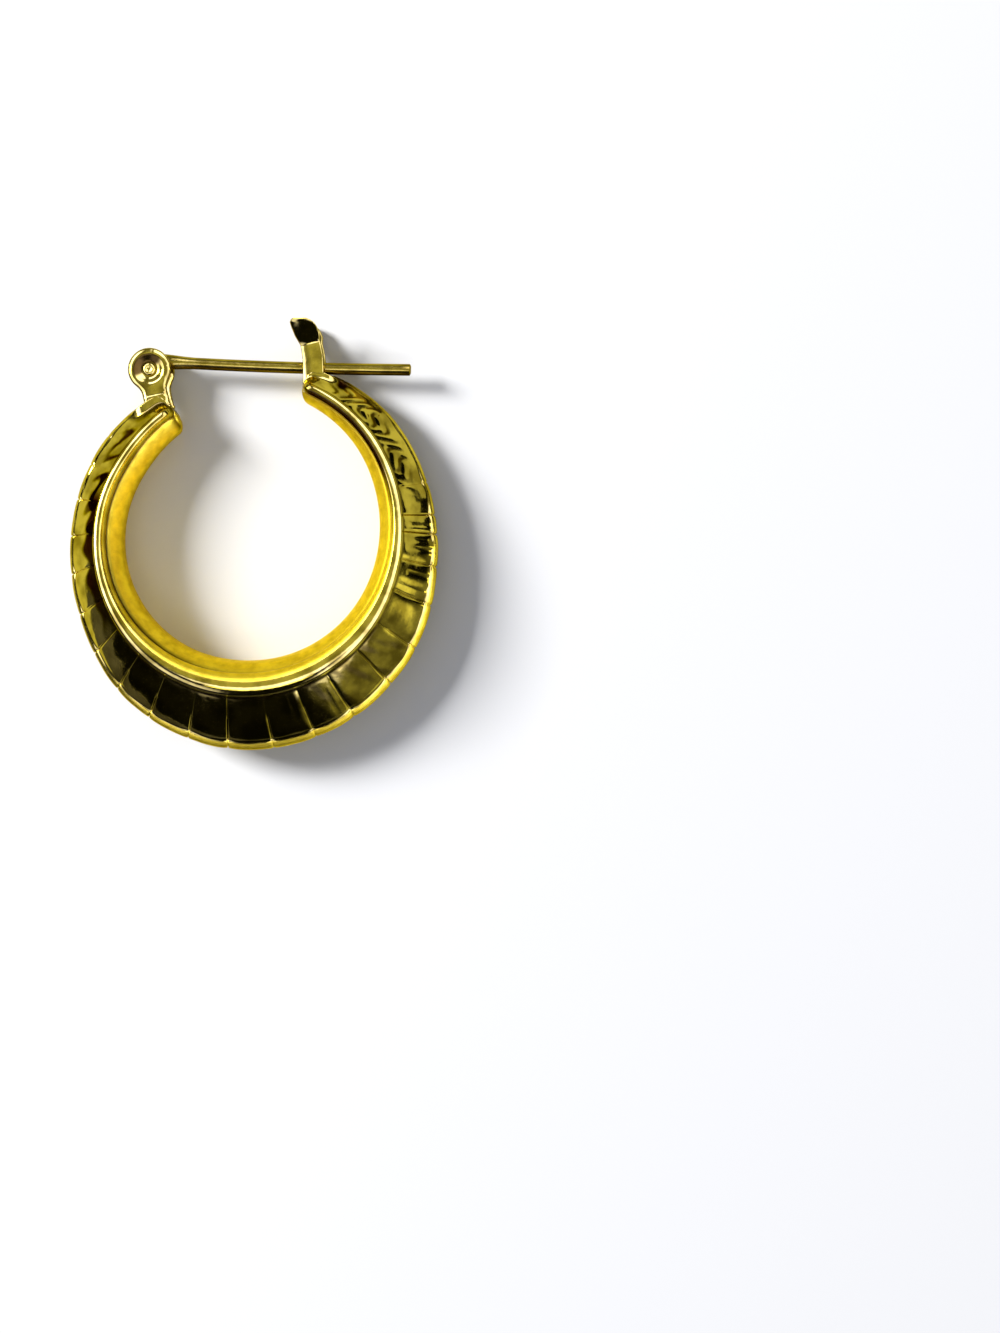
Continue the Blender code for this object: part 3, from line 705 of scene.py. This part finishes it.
# The spun head from its edge to its middle: how far in and how far up each step goes.
HEAD_STEPS = (
    (0.00003, 0.00004), (0.00006, 0.00004), (0.00009, 0.00003),
    (0.00006, -0.00002), (0.00005, -0.00003),
)
bpy.ops.mesh.primitive_cylinder_add(vertices=56, radius=RIVET_RADIUS, depth=RIVET_SHANK, location=ORIGIN)
rivet = bpy.context.object
rivet.name = rivet.data.name = "rivet"
bpy.ops.object.mode_set(mode="EDIT")
bpy.ops.mesh.select_mode(type="FACE")
for upward in (1.0, -1.0):
    choose_faces(rivet, lambda centre, normal: normal.z * upward > 0.9)
    for inset, rise in HEAD_STEPS:
        bpy.ops.mesh.inset(thickness=inset, depth=rise)
bpy.ops.mesh.select_all(action="SELECT")
bpy.ops.mesh.normals_make_consistent(inside=False)
bpy.ops.object.mode_set(mode="OBJECT")
rivet.data.transform(hinge_place)
bpy.ops.object.select_all(action="DESELECT")
rivet.select_set(True)
bpy.ops.object.shade_smooth_by_angle(angle=math.radians(50.0))
rivet.select_set(False)
rivet.data.materials.append(gold("rivet_gold_plate"))
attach(rivet, "hoop")
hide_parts("hinge_pin")


# Ear wire. Round brass wire, flattened and pierced at one end for the rivet and cut square with a
# rubbed edge at the other. It bows a little on its way to the catch.
WIRE_RADIUS = 0.00040
WIRE_LENGTH = 0.01770
WIRE_BOW = 0.00005
WIRE_PRESS = 0.16
WIRE_SPREAD = 0.34
TIP_CHAMFER = 0.00013
TIP_RISE = TIP_CHAMFER * 0.6
EYE_RADIUS = 0.00130
EYE_THICKNESS = 0.00070
EYE_BORE = 0.00050
WIRE_LOOPS = 24
WIRE_STEP = WIRE_LENGTH / WIRE_LOOPS
WIRE_SATIN = 0.12
WIRE_PATINA = 0.30
WIRE_PAINTED_SHADE = 0.45
seat_distance = math.sqrt(chord.length ** 2 - WIRE_OFFSET ** 2)
bpy.ops.mesh.primitive_cylinder_add(
    vertices=40,
    radius=WIRE_RADIUS,
    depth=WIRE_STEP,
    rotation=(0.0, math.pi / 2, 0.0),
    location=(WIRE_STEP / 2, 0.0, 0.0),
)
wire = bpy.context.object
wire.name = wire.data.name = "ear_wire_arm"
bpy.ops.object.transform_apply(location=True, rotation=True, scale=True)
bpy.ops.object.mode_set(mode="EDIT")
bpy.ops.mesh.select_mode(type="FACE")
choose_faces(wire, lambda centre, normal: normal.x > 0.9)
for loop in range(WIRE_LOOPS - 1):
    bpy.ops.mesh.extrude_region_move(TRANSFORM_OT_translate={"value": (WIRE_STEP, 0.0, 0.0)})
bpy.ops.mesh.inset(thickness=TIP_CHAMFER)
bpy.ops.transform.translate(value=(TIP_RISE, 0.0, 0.0))
bpy.ops.object.mode_set(mode="OBJECT")
for vert in wire.data.vertices:
    x = vert.co.x - TIP_RISE * (vert.co.x > WIRE_LENGTH - TIP_CHAMFER * 0.3)
    pressed = 1.0 - min(max((x - EYE_RADIUS * 0.8) / (EYE_RADIUS * 1.4), 0.0), 1.0)
    share = x / seat_distance
    vert.co.z *= 1.0 - WIRE_PRESS * pressed
    vert.co.y *= 1.0 + WIRE_SPREAD * pressed ** 1.3
    vert.co.y += WIRE_OFFSET + 4.0 * WIRE_BOW * share * (share - 1.0)
bpy.ops.object.select_all(action="DESELECT")
bpy.ops.mesh.primitive_cylinder_add(vertices=72, radius=EYE_RADIUS, depth=EYE_THICKNESS, location=ORIGIN)
eye = bpy.context.object
bpy.ops.object.select_all(action="DESELECT")
bpy.ops.mesh.primitive_cylinder_add(vertices=48, radius=EYE_BORE, depth=EYE_THICKNESS * 3, location=ORIGIN)
bore = bpy.context.object
bpy.context.view_layer.objects.active = wire
for tool, operation in ((eye, "UNION"), (bore, "DIFFERENCE")):
    cut = wire.modifiers.new(operation.lower(), "BOOLEAN")
    cut.object = tool
    cut.operation = operation
    cut.solver = "EXACT"
    bpy.ops.object.modifier_apply(modifier=cut.name)
    bpy.data.objects.remove(tool)
finish_edges(wire, 0.00005, 2, 35.0, flat=False)
# The patina is even along the wire, and the half of the wire that faces into the hoop is darkened further
# with painted shade.
for name, amount, side_shade in (("satin", WIRE_SATIN, 0.0), ("patina_and_shade", WIRE_PATINA, WIRE_PAINTED_SHADE)):
    layer = wire.data.attributes.new(name, "FLOAT", "POINT")
    for vert, value in zip(wire.data.vertices, layer.data):
        value.value = amount + side_shade * smooth_step(0.10, 0.75, -vert.normal.y)
wire.data.transform(hinge_place @ Matrix.Rotation(math.radians(wire_degrees), 4, "Z"))
wire.data.materials.append(gold("wire_gold_plate"))
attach(wire, "ear_wire")
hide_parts("ear_wire")


# Catch. Two strips of brass stand on the hoop's end, one before and one behind the wire. Their tips
# flare apart so that the wire snaps down between them.
LEAF_WIDTH = 0.00140
LEAF_TIP_WIDTH = 0.00175
LEAF_THICKNESS = 0.00050
LEAF_INSIDE = 0.00050
LEAF_ABOVE_WIRE = 0.00314
LEAF_TIP_LENGTH = 0.00155
LEAF_SWAY = 0.00080
LEAF_SLANT = 0.26
LEAF_FOOT = 0.00180
FRONT_FLARE = 0.00106
REAR_FLARE = 0.00045
SLANT_REACH = 0.0012
STEM_ROWS = (-0.3, 0.0, 0.2, 0.4, 0.6, 0.8, 0.92)
# Rows of the flared tip: shares of its length, of its width and of its flare.
TIP_ROWS = (
    (0.0, 1.0, 0.0), (0.12, 1.0, 0.10), (0.35, 1.0, 0.35), (0.65, 1.0, 0.65),
    (0.82, 0.94, 0.82), (0.93, 0.76, 0.93), (1.0, 0.50, 1.0),
)
catch_across = Vector((catch_up.y, -catch_up.x, 0.0))
bend = LEAF_ABOVE_WIRE - LEAF_TIP_LENGTH
for name, front, flare in (("catch_leaf_front", 1.0, FRONT_FLARE), ("catch_leaf_rear", -1.0, REAR_FLARE)):
    rows = [(-LEAF_FOOT, 1.0, 0.0)]
    rows += [(bend * share, 1.0, 0.0) for share in STEM_ROWS]
    for share, width, out in TIP_ROWS:
        widening = 1.0 + (LEAF_TIP_WIDTH / LEAF_WIDTH - 1.0) * min(share / 0.35, 1.0)
        rows.append((bend + LEAF_TIP_LENGTH * share, width * widening, out))
    bpy.ops.mesh.primitive_cube_add(size=1.0, location=ORIGIN)
    leaf = bpy.context.object
    leaf.name = leaf.data.name = name
    bpy.ops.object.mode_set(mode="EDIT")
    bpy.ops.mesh.select_mode(type="FACE")
    bpy.ops.mesh.select_all(action="SELECT")
    low, high = rows[0][0], rows[1][0]
    bpy.ops.transform.resize(value=(LEAF_WIDTH, high - low, LEAF_THICKNESS), center_override=ORIGIN)
    bpy.ops.transform.translate(value=(0.0, (low + high) / 2, 0.0))
    choose_faces(leaf, lambda centre, normal: normal.y > 0.9)
    for (low, low_width, low_out), (high, width, out) in zip(rows[1:], rows[2:]):
        rise = (0.0, high - low, flare * (out - low_out))
        bpy.ops.mesh.extrude_region_move(TRANSFORM_OT_translate={"value": rise})
        bpy.ops.transform.resize(value=(width / low_width, 1.0, 1.0), center_override=(0.0, high, 0.0))
    bpy.ops.mesh.select_all(action="SELECT")
    bpy.ops.mesh.normals_make_consistent(inside=False)
    bpy.ops.object.mode_set(mode="OBJECT")
    for vert in leaf.data.vertices:
        near_bend = max(1.0 - abs(vert.co.y - bend) / SLANT_REACH, 0.0)
        vert.co.y += LEAF_SLANT * vert.co.x * near_bend
        vert.co.x -= LEAF_SWAY * (max(vert.co.y, 0.0) / LEAF_ABOVE_WIRE) ** 2
    finish_edges(leaf, 0.00007, 3, 50.0)
    lay = Matrix.Identity(4)
    lay.col[0][:3] = catch_across
    lay.col[1][:3] = catch_up
    lay.col[2][:3] = (0.0, 0.0, 1.0)
    lay.translation = seat_spot
    shift = Matrix.Translation((0.0, 0.0, LEAF_INSIDE + LEAF_THICKNESS / 2))
    flip = Matrix.Scale(front, 4, (0.0, 0.0, 1.0))
    leaf.data.transform(hoop_place @ lay @ flip @ shift)
    if front < 0.0:
        leaf.data.flip_normals()
    leaf.data.materials.append(hoop_gold)
    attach(leaf, "hoop")


# Table top. Plain matt white card that the earring lies on.
bpy.ops.object.select_all(action="DESELECT")
bpy.ops.mesh.primitive_grid_add(x_subdivisions=4, y_subdivisions=4, size=1.2, location=ORIGIN)
table_top = bpy.context.object
table_top.name = "table_top"
card = bpy.data.materials.new("white_card")
card.use_nodes = True
card_shader = card.node_tree.nodes["Principled BSDF"]
card_shader.inputs["Base Color"].default_value = (0.86, 0.86, 0.87, 1.0)
card_shader.inputs["Roughness"].default_value = 0.85
card_shader.inputs["Specular IOR Level"].default_value = 0.0
table_top.data.materials.append(card)
table_top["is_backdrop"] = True


# Light. A soft key from the upper left, a long panel overhead towards the foot and a narrow one low
# on the right.
def soft_panel(name, position, width, height, power):
    """A lamp with a flat face, turned to the earring."""
    lamp = bpy.data.lights.new(name, "AREA")
    lamp.shape = "RECTANGLE"
    lamp.size = width
    lamp.size_y = height
    lamp.energy = power
    item = bpy.data.objects.new(name, lamp)
    item.location = position
    item.rotation_euler = (Vector(ORIGIN) - Vector(position)).to_track_quat("-Z", "Y").to_euler()
    bpy.context.scene.collection.objects.link(item)


soft_panel("key_light", (-0.64, 0.29, 0.50), 0.24, 0.32, 11.8)
soft_panel("front_light", (-0.06, -0.42, 0.92), 0.50, 0.08, 0.40)
soft_panel("side_light", (0.70, 0.02, 0.40), 0.08, 0.42, 0.40)

# A black card on the white one, out of the picture, that only the polish of the metal sees.
BLACK_CARD = 0.50
BLACK_CARD_AWAY = 0.0225
BLACK_CARD_TURN = 229.0
BLACK_CARD_RISE = 0.0002
bpy.ops.mesh.primitive_plane_add(size=BLACK_CARD, location=ORIGIN)
black_card = bpy.context.object
black_card.name = "black_card"
set_off = Matrix.Translation((BLACK_CARD / 2 + BLACK_CARD_AWAY, 0.0, BLACK_CARD_RISE))
black_card.data.transform(Matrix.Rotation(math.radians(BLACK_CARD_TURN), 4, "Z") @ set_off)
paper = bpy.data.materials.new("black_paper")
paper.use_nodes = True
paper_shader = paper.node_tree.nodes["Principled BSDF"]
paper_shader.inputs["Base Color"].default_value = (0.006, 0.005, 0.004, 1.0)
paper_shader.inputs["Roughness"].default_value = 0.9
black_card.data.materials.append(paper)
black_card.visible_camera = False
black_card.visible_diffuse = False
black_card.visible_shadow = False
black_card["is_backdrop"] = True

# Room. Matt surfaces are lit by an even pale glow. Polished metal sees the room itself: a dim wall
# with dark shapes low down and one overhead, a bright cornice, a strip of light and a narrow slot.
ROOM_GLOW = (0.250, 0.260, 0.290, 1.0)
BACKDROP = (0.95, 0.95, 0.95, 1.0)
SHAPE_DARKNESS = 0.975
CORNICE = 6.0
STRIP = 3.6
SLOT = 1.3
# Shares of red, green and blue in the bright parts, bluish so that gold gives them back pale.
BRIGHT_TINT = (("Red", 1.0), ("Green", 1.02), ("Blue", 4.6))
world = bpy.data.worlds.new("pale_room")
world.use_nodes = True
world.cycles.sampling_method = "NONE"
bpy.context.scene.world = world
sky = world.node_tree
sky.nodes.clear()
towards = add(sky, "ShaderNodeTexCoord", -1400, 0).outputs["Generated"]
parts = add(sky, "ShaderNodeSeparateXYZ", -1200, 0)
sky.links.new(towards, parts.inputs["Vector"])
rightward, topward, skyward = parts.outputs["X"], parts.outputs["Y"], parts.outputs["Z"]


def maths(operation, first, second, x, y):
    """A sum on the room's sheet, of sockets or plain numbers."""
    item = add(sky, "ShaderNodeMath", x, y, operation=operation)
    for value, socket in ((first, item.inputs[0]), (second, item.inputs[1])):
        if isinstance(value, float):
            socket.default_value = value
        else:
            sky.links.new(value, socket)
    return item.outputs["Value"]


def times(first, second, x, y):
    return maths("MULTIPLY", first, second, x, y)


def fade(value, low, high, low_value, high_value, x, y):
    """A soft change from one value to another between two limits."""
    item = add(sky, "ShaderNodeMapRange", x, y, interpolation_type="SMOOTHSTEP")
    sky.links.new(value, item.inputs["Value"])
    item.inputs["From Min"].default_value = low
    item.inputs["From Max"].default_value = high
    item.inputs["To Min"].default_value = low_value
    item.inputs["To Max"].default_value = high_value
    return item.outputs["Result"]


def towards_side(x, y, row):
    """How far a direction points towards the side given by x and y."""
    return maths("ADD", times(rightward, x, -1000, row), times(topward, y, -1000, row - 150), -850, row)


# Each dark shape: its side, where it begins and is full, its foot and its top.
dark_side = None
for x, y, near, full, foot_low, foot_high, top_low, top_high, row in (
    (-0.50, -0.87, 0.40, 0.64, -1.00, -0.99, 0.60, 0.72, 0),
    (-0.10, -0.99, 0.06, 0.22, 0.45, 0.60, 0.94, 0.985, -1200),
    (-0.97, -0.24, 0.50, 0.75, -1.00, -0.99, 0.16, 0.27, -400),
    (0.82, 0.57, 0.66, 0.84, -1.00, -0.99, 0.16, 0.30, -800),
):
    sideways = fade(towards_side(x, y, row), near, full, 0.0, 1.0, -650, row)
    under_top = fade(skyward, top_low, top_high, 1.0, 0.0, -650, row - 150)
    over_foot = fade(skyward, foot_low, foot_high, 0.0, 1.0, -650, row - 250)
    shape = times(sideways, times(under_top, over_foot, -500, row - 200), -450, row)
    dark_side = shape if dark_side is None else maths("MAXIMUM", dark_side, shape, -300, row)
wall = fade(skyward, -0.1, 0.6, 0.30, 0.40, -650, 400)
ceiling = fade(skyward, 0.88, 0.97, 0.0, 0.40, -650, 600)
shaded = maths("SUBTRACT", 1.0, times(dark_side, SHAPE_DARKNESS, -300, 0), -150, 0)
room = times(maths("ADD", wall, ceiling, -450, 500), shaded, 0, 0)

# The cornice runs along the left and a little of the top, and along the right from the top round.
over_foot = fade(skyward, 0.44, 0.52, 0.0, CORNICE, -650, 800)
left_part = fade(rightward, -0.42, -0.22, 1.0, 0.0, -650, 1100)
left_part = times(left_part, fade(topward, -0.35, 0.05, 0.30, 1.0, -650, 1200), -550, 1100)
top_part = fade(rightward, -0.23, -0.15, 0.9, 0.0, -650, 1500)
top_part = times(top_part, fade(topward, 0.30, 0.45, 0.0, 1.0, -650, 1600), -550, 1500)
left_part = maths("MAXIMUM", left_part, top_part, -500, 1100)
left_part = times(left_part, fade(skyward, 0.78, 0.85, 1.0, 0.0, -650, 950), -500, 1000)
right_part = fade(rightward, 0.24, 0.44, 0.0, 0.60, -650, 1300)
top_right = fade(rightward, 0.02, 0.14, 0.0, 0.75, -650, 1700)
top_right = times(top_right, fade(topward, 0.22, 0.36, 0.0, 1.0, -650, 1750), -550, 1700)
right_part = maths("MAXIMUM", right_part, top_right, -550, 1350)
right_part = times(right_part, fade(skyward, 0.90, 0.96, 1.0, 0.0, -650, 1400), -550, 1300)
bright = times(over_foot, maths("ADD", left_part, right_part, -450, 1150), -450, 850)

# The strip is high up towards the foot of the hoop, and the slot is an upright one on the right.
strip_side = fade(topward, -0.20, -0.12, STRIP, 0.0, -650, 2100)
strip = times(strip_side, fade(skyward, 0.90, 0.94, 0.0, 1.0, -650, 2250), -450, 2100)
bright = maths("ADD", bright, strip, -350, 850)
bright_colour = add(sky, "ShaderNodeCombineColor", -100, 850)
for channel, share in BRIGHT_TINT:
    sky.links.new(times(bright, share, -250, 850), bright_colour.inputs[channel])
slot_side = fade(towards_side(0.95, -0.31, 1800), 0.970, 0.990, 0.0, SLOT, -650, 1800)
slot = times(slot_side, fade(skyward, -0.10, 0.00, 0.0, 1.0, -650, 1950), -450, 1800)
mirrored = add(sky, "ShaderNodeVectorMath", 100, 200, operation="ADD")
sky.links.new(maths("ADD", room, slot, 50, 0), mirrored.inputs[0])
sky.links.new(bright_colour.outputs["Color"], mirrored.inputs[1])
path = add(sky, "ShaderNodeLightPath", -150, 300)
lit = mix(sky, path.outputs["Is Diffuse Ray"], mirrored.outputs["Vector"], ROOM_GLOW, 200, 100)
seen = mix(sky, path.outputs["Is Camera Ray"], lit, BACKDROP, 300, 100)
background = add(sky, "ShaderNodeBackground", 400, 0)
sky.links.new(seen, background.inputs["Color"])
sky.links.new(background.outputs["Background"], add(sky, "ShaderNodeOutputWorld", 600, 0).inputs["Surface"])
bpy.context.scene.view_settings.view_transform = "Standard"


# Camera. It looks down from the right of the earring, as the photograph was taken.
CAMERA_HEIGHT = 0.165
CAMERA_RIGHT = 0.024
CAMERA_FORWARD = -0.004
VIEW_CENTRE = (0.0167, -0.0091, 0.0)
VIEW_HEIGHT = 0.0921
lens = bpy.data.cameras.new("camera")
camera = bpy.data.objects.new("camera", lens)
camera.location = (CAMERA_RIGHT, CAMERA_FORWARD, CAMERA_HEIGHT)
look = Vector(VIEW_CENTRE) - camera.location
ahead = look.normalized()
right = ahead.cross(Vector((0.0, 1.0, 0.0))).normalized()
upright = right.cross(ahead)
camera.rotation_euler = Matrix((right, upright, -ahead)).transposed().to_euler()
lens.sensor_width = 36.0
lens.lens = 36.0 * look.length / VIEW_HEIGHT
lens.clip_start = 0.01
bpy.context.scene.collection.objects.link(camera)
bpy.context.scene.camera = camera

low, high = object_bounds()
